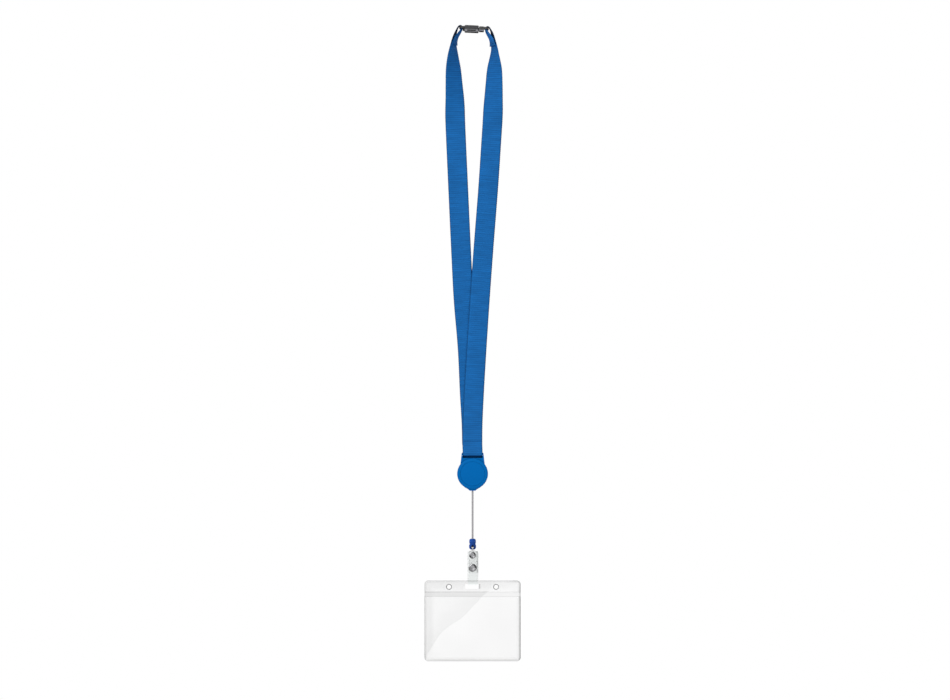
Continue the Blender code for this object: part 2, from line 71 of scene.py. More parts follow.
class Shader:
    """The node tree of a material, or of a world, with short calls for adding and joining nodes."""

    def __init__(self, name, world=False):
        self.owner = (bpy.data.worlds if world else bpy.data.materials).new(name)
        self.owner.use_nodes = True
        self.tree = self.owner.node_tree
        self.tree.nodes.clear()
        self.out = self.tree.nodes.new("ShaderNodeOutputWorld" if world else "ShaderNodeOutputMaterial")

    def node(self, kind, inputs=None, **settings):
        made = self.tree.nodes.new("ShaderNode" + kind)
        for key, value in settings.items():
            setattr(made, key, value)
        for key, value in (inputs or {}).items():
            self.feed(made.inputs[key], value)
        return made

    def feed(self, socket, value):
        if isinstance(value, bpy.types.NodeSocket):
            self.tree.links.new(value, socket)
        elif isinstance(value, bpy.types.Node):
            self.tree.links.new(value.outputs[0], socket)
        else:
            socket.default_value = value

    def math(self, operation, a, b=0.0):
        return self.node("Math", {0: a, 1: b}, operation=operation).outputs[0]

    def plus(self, a, b):
        return self.math("ADD", a, b)

    def minus(self, a, b):
        return self.math("SUBTRACT", a, b)

    def times(self, a, b):
        return self.math("MULTIPLY", a, b)

    def absolute(self, a):
        return self.math("ABSOLUTE", a)

    def length(self, a, b):
        return self.math("SQRT", self.plus(self.times(a, a), self.times(b, b)))

    def between(self, share, low, high):
        """High where share is 1 and low where it is 0."""
        return self.plus(self.times(share, high), self.times(self.minus(1.0, share), low))

    def ramp(self, value, low, high, to_low=0.0, to_high=1.0, smooth=False):
        made = self.node("MapRange", {"Value": value, "From Min": low, "From Max": high,
                                      "To Min": to_low, "To Max": to_high})
        made.interpolation_type = "SMOOTHSTEP" if smooth else "LINEAR"
        return made.outputs[0]

    def mix(self, factor, a, b, blend="MIX"):
        made = self.node("Mix", data_type="RGBA", blend_type=blend)
        self.feed(made.inputs[0], factor)
        self.feed(made.inputs[6], a)
        self.feed(made.inputs[7], b)
        return made.outputs[2]

    def shaded(self, colour, tone):
        """A colour made lighter or darker by a factor."""
        factor = self.node("CombineColor", {0: tone, 1: tone, 2: tone}).outputs[0]
        return self.mix(1.0, colour, factor, "MULTIPLY")

    def noise(self, scale, detail=2.0, vector=None, roughness=0.5):
        made = self.node("TexNoise", {"Scale": scale, "Detail": detail, "Roughness": roughness})
        if vector is not None:
            self.feed(made.inputs["Vector"], vector)
        return made.outputs[0]

    def position(self):
        return self.node("TexCoord").outputs["Object"]

    def dot(self, a, b):
        return self.node("VectorMath", {0: a, 1: b}, operation="DOT_PRODUCT").outputs["Value"]

    def axes(self, vector):
        """The three parts of a vector."""
        return self.node("SeparateXYZ", {0: vector}).outputs

    def join(self, x, y, z=0.0):
        return self.node("CombineXYZ", {0: x, 1: y, 2: z}).outputs[0]

    def bump(self, height, distance, strength=1.0):
        made = self.node("Bump", {"Height": height, "Distance": distance, "Strength": strength})
        return made.outputs[0]

    def principled(self, inputs):
        return self.finish(self.node("BsdfPrincipled", inputs))

    def finish(self, shader):
        self.feed(self.out.inputs["Surface"], shader.outputs[0])
        return self.owner


def grey(value):
    return (value, value, value, 1.0)


def rgba(colour, scale=1.0):
    return tuple(c * scale for c in colour) + (1.0,)


def steps_of(s, value, table):
    """A factor read off a table of (millimetres, factor) by straight lines."""
    total = None
    for (a, fa), (b, fb) in zip(table, table[1:]):
        part = s.ramp(value, a * MM, b * MM, 0.0, fb - fa)
        total = part if total is None else s.plus(total, part)
    return s.plus(total, table[0][1])


def webbing_material(name):
    """Ribbed plain weave: weft ribs across the strap, warp yarns crossing them alternately."""
    s = Shader(name)
    uv = s.node("UVMap", uv_map="weave").outputs[0]
    across, along, _ = s.axes(uv)
    along = s.plus(along, s.times(s.noise(0.35, 1.0, uv), 0.35))
    rib = s.absolute(s.math("SINE", s.times(along, math.pi / RIB_PITCH)))
    row = s.math("FLOOR", s.math("DIVIDE", along, RIB_PITCH))
    warp_phase = s.plus(s.times(across, math.pi / WARP_PITCH), s.times(row, math.pi / 2))
    warp = s.absolute(s.math("SINE", warp_phase))
    fibre = s.noise(1.6, 3.0, s.join(s.times(across, 9.0), along))
    yarns = s.plus(s.times(warp, 0.3), s.times(fibre, 0.25))
    height = s.plus(s.times(s.math("POWER", rib, 0.6), 0.75), yarns)
    edge = s.ramp(s.absolute(across), 8.9, 10.0, 0.0, 1.0, True)
    patch = s.noise(0.045, 3.0, uv)
    tone = s.times(s.ramp(height, 0.2, 1.15, 0.72, 1.12), s.ramp(patch, 0.3, 0.7, 0.94, 1.06))
    # painted shade: darker along both selvedges
    tone = s.times(tone, s.minus(1.0, s.times(edge, 0.28)))
    bands = s.noise(1.0, 2.0, s.join(s.times(across, 0.05), s.times(along, 0.55)))
    tone = s.times(tone, s.ramp(bands, 0.3, 0.7, 0.88, 1.12))
    # painted light and shade of the loops, from the shade attribute
    tone = s.times(tone, s.node("Attribute", attribute_name="shade").outputs["Fac"])
    base = s.mix(fibre, WEBBING_DARK, WEBBING_LIGHT)
    return s.principled({
        "Base Color": s.shaded(base, tone), "Roughness": s.ramp(fibre, 0.3, 0.7, 0.62, 0.78),
        "Sheen Weight": 0.04, "Sheen Roughness": 0.5, "Sheen Tint": (0.3, 0.55, 0.95, 1),
        "Specular IOR Level": 0.12, "Normal": s.bump(height, 0.3 * MM, 0.6)})


def thread_material(name, colour):
    """Sewing thread: two plies twisted round each other."""
    s = Shader(name)
    twist = s.node("TexWave", {"Vector": s.position(), "Scale": 900.0, "Distortion": 1.0},
                   bands_direction="DIAGONAL")
    tone = s.mix(twist.outputs[0], rgba(colour, 0.7), rgba(colour))
    return s.principled({
        "Base Color": tone, "Roughness": 0.6, "Specular IOR Level": 0.1,
        "Normal": s.bump(twist.outputs[0], 0.05 * MM)})


def plastic_material(name, colour, roughness=0.3, specular=0.5):
    """Injection-moulded plastic: fine spark texture, slight tone drift, faint wear, and painted shade in
    recesses and where seen edge-on.
    """
    s = Shader(name)
    place = s.position()
    grain = s.noise(900.0, 4.0, place)
    wear = s.ramp(s.noise(160.0, 5.0, place, 0.7), 0.62, 0.78, 0.0, 0.12)
    rough = s.plus(s.ramp(grain, 0.3, 0.7, roughness - 0.05, roughness + 0.06), wear)
    base = s.mix(s.noise(40.0, 2.0, place), rgba(colour, 0.92), rgba(colour, 1.08))
    # painted shade: darker where the surface is seen edge-on
    edge = s.node("LayerWeight", {"Blend": 0.35}).outputs["Facing"]
    base = s.mix(s.times(edge, 0.35), base, rgba(colour, 0.55))
    # painted shade in recesses, from ambient occlusion
    open_sky = s.node("AmbientOcclusion", {"Distance": 5 * MM}, samples=8).outputs["AO"]
    base = s.mix(s.ramp(open_sky, 0.05, 0.75), rgba(colour, 0.12), base)
    return s.principled({
        "Base Color": base, "Roughness": rough, "Specular IOR Level": specular,
        "Normal": s.bump(grain, 0.03 * MM, 0.5)})


def metal_material(name, colour=(0.78, 0.78, 0.8), roughness=0.12, centre=None, radius=4.0):
    """Plated metal with fine turning marks, smudges and a painted dark reflection in two quarters of a cap's
    rim.
    """
    s = Shader(name)
    place = s.position()
    smudge = s.noise(700.0, 3.0, place)
    marks = s.noise(3500.0, 2.0, place)
    base = s.mix(smudge, rgba(colour, 0.86), rgba(colour))
    # painted dark reflection in two opposite quarters of the cap's rim, broken up by blots
    if centre is not None:
        x, _, z = s.axes(place)
        x = s.math("DIVIDE", s.minus(x, centre[0] * MM), radius * MM)
        z = s.math("DIVIDE", s.minus(z, centre[1] * MM), radius * MM)
        out = s.length(x, z)
        diagonal = s.math("DIVIDE", s.plus(x, z), s.plus(s.times(out, math.sqrt(2)), 0.001))
        quarter = s.ramp(s.absolute(diagonal), 0.35, 0.75, 0.1, 1.0, True)
        ring = s.times(s.ramp(out, 0.5, 0.64, 0.0, 1.0, True), quarter)
        blot = s.ramp(s.noise(700.0, 2.0, place), 0.42, 0.58, 0.35, 1.0)
        base = s.mix(s.times(s.times(ring, blot), 0.92), base, PAINTED_DARK_REFLECTION)
    return s.principled({
        "Base Color": base, "Metallic": 1.0,
        "Roughness": s.ramp(smudge, 0.3, 0.7, roughness, roughness + 0.14),
        "Normal": s.bump(marks, 0.012 * MM, 0.6)})


def cord_material(name):
    """Braided nylon cord: two sets of four strands wound opposite ways."""
    s = Shader(name)
    around, along, _ = s.axes(s.node("UVMap", uv_map="weave").outputs[0])
    turn, climb = s.times(around, 8 * math.pi), s.times(along, 5.0)
    braid = s.math("MAXIMUM", s.math("SINE", s.plus(turn, climb)), s.math("SINE", s.minus(turn, climb)))
    tone = s.mix(s.ramp(braid, -0.4, 1.0), grey(0.3), (0.47, 0.45, 0.48, 1))
    return s.principled({
        "Base Color": tone, "Roughness": 0.6, "Sheen Weight": 0.2, "Normal": s.bump(braid, 0.06 * MM)})


def clear_material(name, tint=0.985, dark=1.6, gloss=0.6, roughness=0.12, cloud=0.01, detail=None,
                   tone=(1.0, 1.0, 1.0), sheen_top=1.0, painted_white=None, falloff=4.0):
    """Clear soft PVC: darker where seen edge-on, with soft reflections and a faint cloudiness."""
    s = Shader(name)
    place = s.position()
    facing = s.node("LayerWeight", {"Blend": 0.5}).outputs["Facing"]
    let_through = s.minus(tint, s.times(s.math("POWER", facing, falloff), dark))
    let_through = s.plus(let_through, s.ramp(s.noise(28.0, 2.0, place), 0.3, 0.7, -cloud, cloud))
    let_through = s.math("MAXIMUM", let_through, 0.3)
    if detail is not None:
        let_through = s.times(let_through, detail(s, place))
    colour = s.node("CombineColor", {i: s.times(let_through, share) for i, share in enumerate(tone)})
    through = s.node("BsdfTransparent", {"Color": colour})
    bump = s.bump(s.noise(60.0, 2.0, place), 0.4 * MM, 0.35)
    shine = s.node("BsdfGlossy", {"Color": grey(1.0), "Roughness": roughness, "Normal": bump})
    fresnel = s.node("Fresnel", {"IOR": 1.45, "Normal": bump}).outputs[0]
    sheen = s.math("MINIMUM", s.times(fresnel, gloss), sheen_top)
    if painted_white is not None:
        sheen = s.times(sheen, s.ramp(s.axes(place)[2], -567.0 * MM, -566.0 * MM, 0.1, 1.0))
    both = s.node("MixShader", {0: sheen, 1: through, 2: shine})
    if painted_white is None:
        return s.finish(both)
    # painted highlight: a milky white body mixed in where the given mask is high
    white = s.node("BsdfDiffuse", {"Color": grey(0.92)})
    glow = s.node("BsdfTranslucent", {"Color": grey(0.92)})
    body = s.node("MixShader", {0: 0.35, 1: white, 2: glow})
    return s.finish(s.node("MixShader", {0: painted_white(s, place), 1: both, 2: body}))


# --- mesh helpers ---


def linked(name, data):
    """An object of the scene that shows data."""
    obj = bpy.data.objects.new(name, data)
    scene.collection.objects.link(obj)
    return obj


def new_object(mesh, material, smooth=True):
    """An object named like its mesh, in its own material."""
    obj = linked(mesh.name, mesh)
    mesh.materials.clear()
    mesh.materials.append(material)
    if smooth:
        mesh.shade_smooth()
    return obj


def faced_out(mesh, weld=False, collapse=False):
    """The mesh with its faces turned outwards, after welding its points and dropping faces of no area."""
    shape = bmesh.new()
    shape.from_mesh(mesh)
    if weld:
        bmesh.ops.remove_doubles(shape, verts=shape.verts, dist=WELD)
    if collapse:
        bmesh.ops.dissolve_degenerate(shape, edges=shape.edges, dist=WELD)
    bmesh.ops.recalc_face_normals(shape, faces=shape.faces)
    shape.to_mesh(mesh)
    shape.free()
    return mesh


def from_faces(name, verts, faces):
    mesh = bpy.data.meshes.new(name)
    mesh.from_pydata(verts, [], faces)
    return mesh


def sample_path(stations, step):
    """Points spaced by step along a smooth curve through stations, as rows of the stations' columns."""
    points = np.array(stations, float)
    chord = np.linalg.norm(np.diff(points[:, :3], axis=0), axis=1)
    slopes = np.zeros_like(points)
    rise = np.diff(points, axis=0) / chord[:, None]
    before, after = chord[:-1, None], chord[1:, None]
    slopes[1:-1] = (rise[:-1] * after + rise[1:] * before) / (after + before)
    slopes[0], slopes[-1] = rise[0], rise[-1]
    fine = []
    for i, length in enumerate(chord):
        t = np.linspace(0, 1, max(4, int(length / step * 3)), endpoint=False)[:, None]
        h00, h10 = 2 * t**3 - 3 * t**2 + 1, t**3 - 2 * t**2 + t
        h01, h11 = -2 * t**3 + 3 * t**2, t**3 - t**2
        fine.append(h00 * points[i] + h10 * length * slopes[i] + h01 * points[i + 1]
                    + h11 * length * slopes[i + 1])
    fine = np.concatenate(fine + [points[-1:]])
    run = np.concatenate([[0.0], np.cumsum(np.linalg.norm(np.diff(fine[:, :3], axis=0), axis=1))])
    wanted = np.linspace(0, run[-1], int(round(run[-1] / step)) + 1)
    return np.stack([np.interp(wanted, run, fine[:, k]) for k in range(fine.shape[1])], axis=1), wanted


def tube_mesh(name, rings, uvs, cap=True):
    """A mesh from equal rings of points with uvs, closed along the rings and capped at the ends."""
    rows, count = rings.shape[:2]
    verts = (rings.reshape(-1, 3) * MM).tolist()
    faces = []
    for i in range(rows - 1):
        for k in range(count):
            n = (k + 1) % count
            faces.append((i * count + k, i * count + n, (i + 1) * count + n, (i + 1) * count + k))
    if cap:
        faces.append(tuple(reversed(range(count))))
        faces.append(tuple((rows - 1) * count + k for k in range(count)))
    mesh = from_faces(name, verts, faces)
    layer = mesh.uv_layers.new(name="weave")
    index = np.zeros(len(mesh.loops), int)
    mesh.loops.foreach_get("vertex_index", index)
    layer.data.foreach_set("uv", uvs.reshape(-1, 2)[index].astype(np.float32).ravel())
    return faced_out(mesh)


def smoothstep(t):
    t = min(1.0, max(0.0, t))
    return t * t * (3 - 2 * t)


def unit(v):
    return v / np.linalg.norm(v, axis=-1, keepdims=True)


def strap_frames(stations, step):
    """Centre points, width directions, face normals and run of a strap through (x, y, z, turn) stations."""
    path, run = sample_path(stations, step)
    centre = path[:, :3]
    tangent = unit(np.gradient(centre, axis=0))
    turn = np.radians(path[:, 3])
    wide = np.stack([np.sin(turn), np.cos(turn), np.zeros(len(turn))], axis=1)
    wide = unit(wide - (wide * tangent).sum(1, keepdims=True) * tangent)
    normal = np.cross(tangent, wide)
    return centre, wide, normal, run


def flat_section(count, thick, squareness):
    """Points (u, h) round a flat strip: u from -1 to 1 across it, h its height, rounded at both edges."""
    columns = np.linspace(-1, 1, count)
    half = thick / 2 * np.sqrt(np.clip(1 - np.abs(columns) ** squareness, 0, 1))
    return np.concatenate([columns, columns[-2:0:-1]]), np.concatenate([half, -half[-2:0:-1]])


def loop_shade(point, run):
    """Painted light and shade: lighter where the folded end catches light inside the loop, darker on the
    outer layer down to the sewing.
    """
    lit = 1.6 if point[0] > 0 else 1.1
    inner = 1.0 + (lit - 1.0) * smoothstep((run - 3.0) / 4.0)
    outer = 1.0 - 0.75 * smoothstep((point[2] + 13.0) / 8.0)
    turned_over = smoothstep((run - 16.5) / 4.0)
    return inner + (outer - inner) * turned_over


def strap_mesh(name, stations, pinch_z=None):
    """Webbing with rounded selvedges, slightly scalloped by the weft, and pinched where stitches pass."""
    centre, wide, normal, run = strap_frames(stations, WEB_STEP)
    loop_u, loop_h = flat_section(19, WEB_THICK, 8)
    scallop = SCALLOP * np.cos(2 * np.pi * run / RIB_PITCH)
    rings = np.zeros((len(run), len(loop_u), 3))
    uvs = np.zeros((len(run), len(loop_u), 2))
    pinch = np.ones(len(run))
    if pinch_z is not None:
        pinch -= PINCH_DEPTH * np.exp(-((centre[:, 2] - pinch_z) / PINCH_REACH) ** 2)
    for k, (u, h) in enumerate(zip(loop_u, loop_h)):
        reach = u * WEB_WIDTH / 2 + np.sign(u) * scallop * abs(u) ** 12
        wave = WAVE_HEIGHT * np.sin(run / WAVE_LENGTH + 2 * u) * (1 - abs(u))
        rings[:, k] = centre + wide * reach[:, None] + normal * (h * pinch + wave)[:, None]
        uvs[:, k, 0] = u * WEB_WIDTH / 2
        uvs[:, k, 1] = run + (h < 0) * BACK_OFFSET
    mesh = tube_mesh(name, rings, uvs)
    loop_light_and_shade = mesh.attributes.new("shade", "FLOAT", "POINT")
    values = np.array([loop_shade(p, r) for p, r in zip(centre, run)])
    loop_light_and_shade.data.foreach_set("value", np.repeat(values, len(loop_u)).astype(np.float32))
    return mesh


def stitch_mesh(name, stitches):
    """Short curved thread bridges from (start, end, outward) triples, sunk at both ends."""
    rows, sides = 7, 8
    verts, faces = [], []
    for start, end, outward in stitches:
        start, end, outward = Vector(start), Vector(end), Vector(outward)
        along = (end - start).normalized()
        side = along.cross(outward).normalized()
        base = len(verts)
        for i in range(rows):
            t = i / (rows - 1)
            arch = math.sin(math.pi * t) ** 0.5
            size = THREAD_RADIUS * (0.55 + 0.45 * arch)
            middle = start.lerp(end, t) + outward * THREAD_RADIUS * (1.1 * arch - 0.9)
            for k in range(sides):
                a = 2 * math.pi * k / sides
                verts.append((middle + side * math.cos(a) * size + outward * math.sin(a) * size) * MM)
        for i in range(rows - 1):
            for k in range(sides):
                n = (k + 1) % sides
                faces.append((base + i * sides + k, base + i * sides + n,
                              base + (i + 1) * sides + n, base + (i + 1) * sides + k))
        faces.append(tuple(base + k for k in reversed(range(sides))))
        faces.append(tuple(base + (rows - 1) * sides + k for k in range(sides)))
    return faced_out(from_faces(name, verts, faces))


# --- neck strap ---

BAR_Z = -434.4
SEAM_Z = -421.3
STITCHES = 7

# (x, y, z, turn) from the sewn end round the socket's bar and down to the seam; turn 90 faces the front
LEFT = [
    (-18.6, 0, -12.6, 18), (-17.8, 0, -8.6, 13), (-16.2, 0, -4.6, 10), (-13.5, 0, -0.4, 7),
    (-11.3, 0, 3.2, 3), (-10.6, 0, 5.1, 0), (-11.3, 0, 6.4, 0), (-12.6, 0, 6.95, 0),
    (-14.1, 0, 6.3, 0), (-15.2, 0, 4.8, 1), (-16.4, 0, 2.2, 3), (-18.0, 0, -2.4, 7),
    (-19.0, 0, -7.0, 12), (-19.7, 0, -13.4, 19), (-20.0, 0, -20.0, 28), (-20.1, 0, -27.0, 37),
    (-19.8, 0, -37.3, 49), (-19.1, 0, -53.0, 59), (-18.3, 0, -68.0, 70), (-17.9, 0, -90.0, 90),
    (-17.0, 0, -112.0, 90), (-15.2, 0.3, -152.0, 90), (-11.8, 0.65, -226.0, 90),
    (-9.2, 0.65, -276.0, 90), (-5.1, 0.65, -325.0, 90), (-2.7, 0.65, -375.0, 90),
    (-1.0, 0.4, -405.0, 90), (-0.5, 0, -425.0, 90)]

# sewn end, round the plug's bar, down in front, round the reel's bar and up behind the seam
RIGHT = [
    (20.7, 0, -13.9, -18), (20.1, 0, -10.2, -14), (18.9, 0, -6.4, -12), (16.7, 0, -2.7, -10),
    (14.6, 0, 0.6, -7), (13.5, 0, 3.2, -2), (14.1, 0, 5.1, 0), (15.4, 0, 5.7, 0),
    (17.0, 0, 5.1, 0), (18.1, 0, 3.4, -1), (19.5, 0, 0.4, -4), (20.4, 0, -2.9, -8),
    (21.2, 0, -7.6, -12), (22.0, 0, -13.0, -17), (22.6, 0, -18.0, -21), (22.7, 0, -23.3, -27),
    (22.7, 0, -28.5, -35), (22.6, 0, -37.3, -48), (22.2, 0, -53.0, -59), (21.6, 0, -68.0, -69),
    (20.7, 0, -90.0, -90), (19.3, 0, -112.0, -90), (16.7, -0.3, -152.0, -90), (11.0, -0.65, -226.0, -90),
    (7.4, -0.65, -276.0, -90), (4.2, -0.65, -325.0, -90), (1.3, -0.65, -375.0, -90),
    (0.0, -0.85, -405.0, -90), (-0.2, -1.05, -418.0, -90), (-0.2, -1.25, -426.0, -90),
    (0, -1.75, -431.5, -90), (0, -1.9, BAR_Z, -90), (0, -1.34, BAR_Z - 1.34, -90),
    (0, 0, BAR_Z - 1.9, -90), (0, 1.34, BAR_Z - 1.34, -90), (0, 1.9, BAR_Z, -90),
    (0, 1.75, -431.5, -90), (-0.2, 1.25, -426.0, -90), (-0.2, 1.1, -416.0, -90)]


webbing = webbing_material("webbing_blue")
left_strap = new_object(strap_mesh("left_strap_webbing", LEFT), webbing)
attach(left_strap, "neck_strap")
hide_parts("left_strap")
right_strap = new_object(strap_mesh("right_strap_webbing", RIGHT, SEAM_Z), webbing)
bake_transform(right_strap)
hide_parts("right_strap", "right_strap_end")

thread = thread_material("sewing_thread", (0.0, 0.06, 0.26))
seam = []
for depth, out in ((-1.58, (0, -1, 0)), (1.6, (0, 1, 0))):
    for i in range(STITCHES):
        x = -8.4 + i * 2.55
        seam.append(((x, depth, SEAM_Z), (x + 1.75, depth, SEAM_Z + 0.1), out))
seam_thread = new_object(stitch_mesh("seam_thread", seam), thread)
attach(seam_thread, "neck_strap")


def loop_stitches(name, stations, at_z, body):
    """Two rows of stitches across the folded strap end, seen on its inner face."""
    centre, wide, normal, _ = strap_frames(stations, 0.5)
    found = []
    for z in at_z:
        i = int(np.argmin(np.abs(centre[:20, 2] - z)))
        inner = normal[i] if normal[i][0] * -stations[0][0] > 0 else -normal[i]
        face = centre[i] + inner * WEB_THICK / 2
        for k in range(STITCHES):
            a = -8.2 + k * 2.4
            found.append((face + wide[i] * a, face + wide[i] * (a + 1.6), inner))
    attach(new_object(stitch_mesh(name, found), thread), body)


loop_stitches("left_loop_thread", LEFT, (-10.2, -12.2), "neck_strap")
loop_stitches("right_loop_thread", RIGHT, (-11.6, -13.6), "plug")

# --- CAD nodes with finer edges and materials: buckle, reel, metal, cord end ---


def dress(node, material, bevel=0.0):
    """Give a CAD node its material and, where bevel is more than 0, softened edges."""
    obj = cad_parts[node]
    obj.data.materials.clear()
    obj.data.materials.append(material)
    if bevel:
        weld = obj.modifiers.new("weld", "WELD")
        weld.merge_threshold = 0.005 * MM
        softened = obj.modifiers.new("softened", "BEVEL")
        softened.width = bevel * MM
        softened.segments = 2
        softened.limit_method = "ANGLE"
        softened.angle_limit = math.radians(35)
        softened.harden_normals = True


BUCKLE_LEAN = 2.5
BUCKLE_MIDDLE, BODY_HALF = 1.3, 12.6  # along X: the middle of the buckle, and half of it without its end arms
RECESS_DEPTH = (11.55, 11.85)  # along Y: nearer the middle than this is a recess, beyond it the side face


def buckle_material(name, upper, lower, crossing):
    """Moulded buckle halves: matt and dark above a crossing height, paler and glossier below, with painted
    shade in the recess.
    """
    s = Shader(name)
    place = s.position()
    x, y, _ = s.axes(place)
    lean = math.radians(BUCKLE_LEAN)
    height = s.dot(place, (math.sin(lean), 0, math.cos(lean)))
    grain = s.noise(900.0, 4.0, place)
    mottle = s.noise(380.0, 3.0, place, 0.7)
    top = s.mix(s.ramp(mottle, 0.35, 0.65), rgba(upper, 0.72), rgba(upper, 1.35))
    low = s.mix(mottle, rgba(lower, 0.85), rgba(lower, 1.1))
    # painted shade: the recess in the side face darkened
    recess = s.ramp(s.absolute(y), RECESS_DEPTH[0] * MM, RECESS_DEPTH[1] * MM, 1.0, 0.0)
    low = s.mix(recess, low, rgba(upper, 0.2))
    share = s.ramp(height, (crossing - 0.35) * MM, (crossing + 0.35) * MM, 1.0, 0.0, True)
    base = s.mix(share, top, low)
    reach = s.minus(s.absolute(s.minus(x, BUCKLE_MIDDLE * MM)), BODY_HALF * MM)
    base = s.mix(s.ramp(reach, 0.0, 1.2 * MM, 0.0, 0.85, True), base, (0.004, 0.006, 0.012, 1))
    rough = s.minus(s.ramp(grain, 0.3, 0.7, 0.34, 0.46), s.times(share, 0.14))
    return s.principled({
        "Base Color": base, "Roughness": rough, "Coat Weight": 0.2, "Coat Roughness": 0.15,
        "Normal": s.bump(grain, 0.03 * MM, 0.5)})


buckle_black = buckle_material("buckle_black", (0.045, 0.046, 0.05), (0.25, 0.25, 0.27), 2.6)
plug_black = buckle_material("plug_black", (0.06, 0.06, 0.058), (0.26, 0.26, 0.31), 2.5)
reel_blue = plastic_material("reel_blue", (0.0, 0.138, 0.455), 0.42, specular=0.04)

# the cord end's waist, the middle of its window, and the top point of the painted black shade above the
# window
WAIST_Z, WINDOW_Z, SHADE_PEAK_Z = -526.4, -531.0, -528.4


def loop_material(name):
    """The cord end's translucent blue, with painted shade round its window, in its waist and in a black point
    above it.
    """
    s = Shader(name)
    place = s.position()
    sideways, _, z = s.axes(place)
    x = s.absolute(sideways)
    grain = s.noise(900.0, 4.0, place)
    # painted shade: darker towards the window and in the waist's crease
    window_shade = s.ramp(s.length(x, s.minus(z, WINDOW_Z * MM)), 1.1 * MM, 3.4 * MM, 1.0, 0.0, True)
    waist_shade = s.ramp(s.absolute(s.minus(z, WAIST_Z * MM)), 0.3 * MM, 1.3 * MM, 0.35, 0.0, True)
    peak = s.plus(s.times(x, 1.1), z)
    # painted shade: a black triangle above the window
    painted_triangle_shade = s.times(s.ramp(peak, (SHADE_PEAK_Z - 0.2) * MM, (SHADE_PEAK_Z + 0.2) * MM, 1.0, 0.0),
                    s.ramp(z, (WINDOW_Z - 0.4) * MM, WINDOW_Z * MM))
    # painted light: lighter on the left, darker on the right
    lit = s.ramp(sideways, -2.6 * MM, 2.8 * MM, 1.15, 0.72, True)
    base = s.mix(s.times(window_shade, 0.8), (0.0095, 0.072, 0.36, 1), (0.0, 0.014, 0.085, 1))
    base = s.mix(waist_shade, base, (0.0, 0.02, 0.12, 1))
    base = s.mix(painted_triangle_shade, s.shaded(base, lit), (0.0, 0.001, 0.012, 1))
    return s.principled({
        "Base Color": base, "Roughness": s.ramp(grain, 0.3, 0.7, 0.2, 0.32), "Specular IOR Level": 0.2,
        "Normal": s.bump(grain, 0.03 * MM, 0.5)})


loop_blue = loop_material("loop_blue")
# near-black plastic that stands for the shade inside the cord end's ring
painted_shadow_plastic = plastic_material("painted_shadow_plastic", (0.001, 0.004, 0.025), 0.4, specular=0.1)
spool_white = plastic_material("spool_white", (0.7, 0.7, 0.68), 0.4)
plated = metal_material("plated_metal")
spring_steel = metal_material("spring_steel", (0.5, 0.52, 0.56), 0.22)

# rivet and snap plates, each with a painted dark reflection round its cap
rivet_plate = metal_material("rivet_plate", roughness=0.4, centre=(0.0, -539.1), radius=3.5)
snap_plate = metal_material("snap_plate", roughness=0.45, centre=(0.0, -551.9), radius=4.2)

dress("buckle_socket", buckle_black, 0.18)
dress("buckle_plug", plug_black, 0.18)
dress("reel_back_case", reel_blue, 0.3)
dress("cord_end_loop", loop_blue, 0.15)
dress("spool", spool_white)
dress("spiral_spring", spring_steel)
for node in ("rivet_cap", "rivet_washer"):
    dress(node, rivet_plate, 0.08)
for node in ("snap_cap", "snap_socket", "snap_stud", "snap_post"):
    dress(node, snap_plate, 0.08)
dress("reel_axle", plated, 0.08)

# --- reel front ---

REEL_Z = -455.0


def turned(name, profile, stood_for):
    """Revolve a closed (radius, depth) profile about the reel's axis; depths are along Y."""
    steps = 128
    verts, faces = [], []
    count = len(profile)
    for i in range(steps):
        a = 2 * math.pi * i / steps
        for radius, depth in profile:
            verts.append((radius * math.cos(a) * MM, depth * MM, (REEL_Z + radius * math.sin(a)) * MM))
    for i in range(steps):
        n = (i + 1) % steps
        for k in range(count):
            m = (k + 1) % count
            faces.append((i * count + k, i * count + m, n * count + m, n * count + k))
    mesh = faced_out(from_faces(name, verts, faces), weld=True, collapse=True)
    obj = new_object(mesh, reel_blue)
    mesh.set_sharp_from_angle(angle=math.radians(50))
    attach(obj, "reel")
    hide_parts(stood_for)


def dome(radius, rim, crown, steps):
    """Points of a shallow dome from its middle out to radius, rising from rim to crown depth."""
    return [(radius * i / steps, rim + (crown - rim) * (1 - (i / steps) ** 2)) for i in range(steps + 1)]


turned("reel_face_disc_smooth",
       dome(12.3, -4.25, -4.75, 24) + [(12.45, -4.2), (12.52, -4.05), (12.52, -3.6), (0.0, -3.6)],
       "reel_face_disc")
turned("reel_cover_smooth", [
    (0.0, -3.3), (12.6, -3.3), (12.6, -4.05), (12.68, -4.16), (12.85, -4.2), (13.6, -4.12), (14.5, -3.95),
    (15.2, -3.68), (15.65, -3.32), (15.86, -2.95), (15.9, -2.6), (15.9, -2.5), (14.2, -2.5), (14.2, -1.0),
    (13.1, -1.0), (13.1, -2.5), (0.0, -2.5)], "reel_front_cover")

# --- cord and its end ---


def block(name, low, high):
    """A plain block between two corners."""
    low, high = Vector(low) * MM, Vector(high) * MM
    mesh = bpy.data.meshes.new(name)
    shape = bmesh.new()
    bmesh.ops.create_cube(shape, size=1.0)
    bmesh.ops.scale(shape, vec=high - low, verts=shape.verts)
    bmesh.ops.translate(shape, vec=(low + high) / 2, verts=shape.verts)
    shape.to_mesh(mesh)
    shape.free()
    return mesh


def bar_along_x(name, half, z, radius):
    """A round bar lying along X."""
    mesh = bpy.data.meshes.new(name)
    shape = bmesh.new()
    bmesh.ops.create_cone(shape, cap_ends=True, segments=48, radius1=radius * MM, radius2=radius * MM,
                          depth=2 * half * MM)
    lying = Matrix.Translation((0, 0, z * MM)) @ Matrix.Rotation(math.pi / 2, 4, "Y")
    bmesh.ops.transform(shape, matrix=lying, verts=shape.verts)
    shape.to_mesh(mesh)
    shape.free()
    return mesh


def baked(obj):
    """The shape an object has once its modifiers and its curve are worked out."""
    bpy.context.view_layer.update()
    return bpy.data.meshes.new_from_object(obj.evaluated_get(bpy.context.evaluated_depsgraph_get()))
